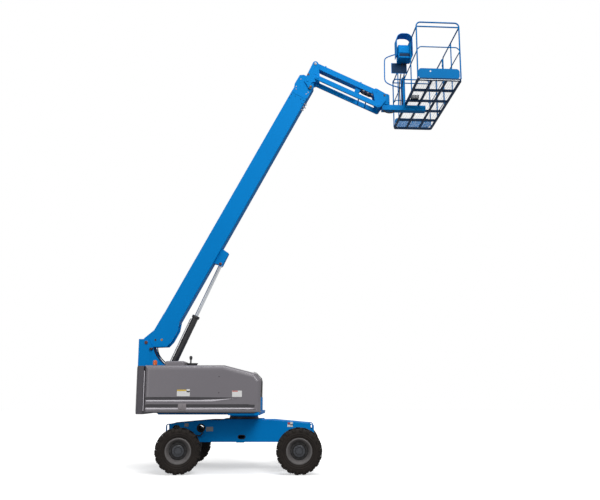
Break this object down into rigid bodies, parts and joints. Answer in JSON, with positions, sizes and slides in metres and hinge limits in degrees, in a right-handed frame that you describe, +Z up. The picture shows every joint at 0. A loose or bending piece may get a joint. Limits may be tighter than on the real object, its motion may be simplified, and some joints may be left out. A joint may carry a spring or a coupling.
{
  "type": "telescopic boom lift",
  "caption": "Self-propelled telescopic boom lift: steered chassis, slewing turntable, three-section boom raised by a cylinder, jib and railed work platform.",
  "frame": {"origin": "on the ground under the middle of the whole machine as it stands in the picture", "axes": "+Z up, +X the way the boom reaches, +Y the machine's left side"},
  "size_m": [7.1728, 2.7068, 9.966],
  "materials": {
    "paint_blue": "satin",
    "paint_dark": "satin",
    "cover_grey": "satin",
    "rod_chrome": "polished",
    "mesh_grey": "satin",
    "console_black": "matte",
    "beacon_amber": "gloss",
    "tyre": "matte",
    "rim_grey": "satin"
  },
  "bodies": {
    "chassis": {"chassis_frame": "paint_blue", "slew_ring": "paint_dark", "drive_axle": "paint_dark", "steer_axle": "paint_dark", "steer_cylinder": "paint_dark", "steer_manifold": "paint_dark"},
    "steering_right": {"knuckle_right": "paint_dark"},
    "steering_left": {"knuckle_left": "paint_dark"},
    "turntable": {"turntable_base": "paint_blue", "turret": "paint_blue", "counterweight": "paint_dark", "engine": "paint_dark", "hydraulic_tank": "paint_dark", "fuel_tank": "paint_dark", "beacon": "beacon_amber"},
    "right_cover": {"cover_right": "cover_grey", "intake_cap": "console_black"},
    "left_cover": {"cover_left": "cover_grey"},
    "base_boom": {"boom_base": "paint_blue"},
    "mid_boom": {"boom_mid": "paint_blue"},
    "fly_boom": {"boom_fly": "paint_blue"},
    "lift_barrel": {"lift_cylinder_barrel": "paint_dark"},
    "lift_rod": {"lift_cylinder_rod": "rod_chrome"},
    "level_bellcrank": {"bellcrank": "paint_blue"},
    "jib": {"jib_arm": "paint_blue"},
    "parallel_link": {"jib_link": "paint_blue"},
    "jib_barrel": {"jib_cylinder_barrel": "paint_dark"},
    "jib_rod": {"jib_cylinder_rod": "rod_chrome"},
    "support": {"platform_support": "paint_blue"},
    "platform": {"platform_mount": "paint_blue", "platform_frame": "paint_blue", "platform_mesh": "mesh_grey", "end_rail_right": "paint_blue", "end_rail_left": "paint_blue", "rear_rails": "paint_blue", "front_rail_right": "paint_blue", "front_rail_left": "paint_blue", "kick_plate_right": "paint_blue", "kick_plate_left": "paint_blue", "control_console": "console_black", "console_guard": "console_black"},
    "gate": {"platform_gate": "paint_blue"},
    "wheel_steer_right": {"tyre_steer_right": "tyre", "rim_steer_right": "rim_grey"},
    "wheel_steer_left": {"tyre_steer_left": "tyre", "rim_steer_left": "rim_grey"},
    "wheel_drive_right": {"tyre_drive_right": "tyre", "rim_drive_right": "rim_grey"},
    "wheel_drive_left": {"tyre_drive_left": "tyre", "rim_drive_left": "rim_grey"}
  },
  "joints": [
    {"name": "slew", "type": "hinge", "parent": "chassis", "child": "turntable", "pos_m": [-1.193, 0, 1.1], "axis": [0, 0, 1], "continuous": true},
    {"name": "steer_right", "type": "hinge", "parent": "chassis", "child": "steering_right", "pos_m": [-2.483, -0.8, 0.465], "axis": [0, 0, 1], "range_deg": [-48, 28]},
    {"name": "steer_left", "type": "hinge", "parent": "chassis", "child": "steering_left", "pos_m": [-2.483, 0.8, 0.465], "axis": [0, 0, 1], "range_deg": [-48, 28]},
    {"name": "roll_steer_right", "type": "hinge", "parent": "steering_right", "child": "wheel_steer_right", "pos_m": [-2.483, -0.8, 0.465], "axis": [-0.1736, 0.9848, 0], "continuous": true},
    {"name": "roll_steer_left", "type": "hinge", "parent": "steering_left", "child": "wheel_steer_left", "pos_m": [-2.483, 0.8, 0.465], "axis": [-0.1736, 0.9848, 0], "continuous": true},
    {"name": "roll_drive_right", "type": "hinge", "parent": "chassis", "child": "wheel_drive_right", "pos_m": [0.027, -0.8, 0.465], "axis": [0, 1, 0], "continuous": true},
    {"name": "roll_drive_left", "type": "hinge", "parent": "chassis", "child": "wheel_drive_left", "pos_m": [0.027, 0.8, 0.465], "axis": [0, 1, 0], "continuous": true},
    {"name": "open_right_cover", "type": "hinge", "parent": "turntable", "child": "right_cover", "pos_m": [-2.028, -0.47, 2.207], "axis": [-1, 0, 0], "range_deg": [0, 65]},
    {"name": "open_left_cover", "type": "hinge", "parent": "turntable", "child": "left_cover", "pos_m": [-2.028, 0.47, 2.207], "axis": [1, 0, 0], "range_deg": [0, 65]},
    {"name": "lift", "type": "hinge", "parent": "turntable", "child": "base_boom", "pos_m": [-3.38, 0, 2.743], "axis": [0, -1, 0], "range_deg": [-66.9, 13.1]},
    {"name": "extend_mid", "type": "slide", "parent": "base_boom", "child": "mid_boom", "axis": [0.471, 0, 0.8821], "range_m": [0, 4.7]},
    {"name": "extend_fly", "type": "slide", "parent": "mid_boom", "child": "fly_boom", "axis": [0.471, 0, 0.8821], "range_m": [0, 4.7]},
    {"name": "lift_barrel_pivot", "type": "hinge", "parent": "turntable", "child": "lift_barrel", "pos_m": [-3.033, 0, 1.745], "axis": [0, -1, 0], "range_deg": [-60, 15]},
    {"name": "lift_rod_slide", "type": "slide", "parent": "lift_barrel", "child": "lift_rod", "axis": [0.4086, 0, 0.9127], "range_m": [-1.1, 0.25]},
    {"name": "bellcrank_level", "type": "hinge", "parent": "fly_boom", "child": "level_bellcrank", "pos_m": [0.22625, 0, 9.01921], "axis": [0, -1, 0], "range_deg": [-13.1, 66.9]},
    {"name": "jib_raise", "type": "hinge", "parent": "level_bellcrank", "child": "jib", "pos_m": [0.417, 0, 9.449], "axis": [0, -1, 0], "range_deg": [-39, 91]},
    {"name": "link_swing", "type": "hinge", "parent": "level_bellcrank", "child": "parallel_link", "pos_m": [0.467, 0, 9.073], "axis": [0, -1, 0], "range_deg": [-39, 91]},
    {"name": "jib_barrel_pivot", "type": "hinge", "parent": "level_bellcrank", "child": "jib_barrel", "pos_m": [0.417, 0, 9.189], "axis": [0, -1, 0], "range_deg": [-45, 95]},
    {"name": "jib_rod_slide", "type": "slide", "parent": "jib_barrel", "child": "jib_rod", "axis": [0.8966, 0, -0.4428], "range_m": [-0.2, 0.4]},
    {"name": "level_platform", "type": "hinge", "parent": "jib", "child": "support", "pos_m": [1.85507, 0, 8.74761], "axis": [0, -1, 0], "range_deg": [-91, 39]},
    {"name": "platform_rotate", "type": "hinge", "parent": "support", "child": "platform", "pos_m": [2.102, 0, 8.6], "axis": [0, 0, 1], "range_deg": [-83.2, 76.8]},
    {"name": "gate_hinge", "type": "hinge", "parent": "platform", "child": "gate", "pos_m": [3.53564, 0.11821, 8.9], "axis": [0, 0, 1], "range_deg": [0, 90]}
  ],
  "couplings": [
    {"joint": "steer_left", "follows": "steer_right", "ratio": 1},
    {"joint": "extend_fly", "follows": "extend_mid", "ratio": 1},
    {"joint": "lift_barrel_pivot", "follows": "lift", "ratio": 0.851},
    {"joint": "lift_rod_slide", "follows": "lift", "m_per_rad": 0.9},
    {"joint": "bellcrank_level", "follows": "lift", "ratio": -1},
    {"joint": "link_swing", "follows": "jib_raise", "ratio": 1},
    {"joint": "jib_barrel_pivot", "follows": "jib_raise", "ratio": 1},
    {"joint": "jib_rod_slide", "follows": "jib_raise", "m_per_rad": 0.2105},
    {"joint": "level_platform", "follows": "jib_raise", "ratio": -1}
  ]
}
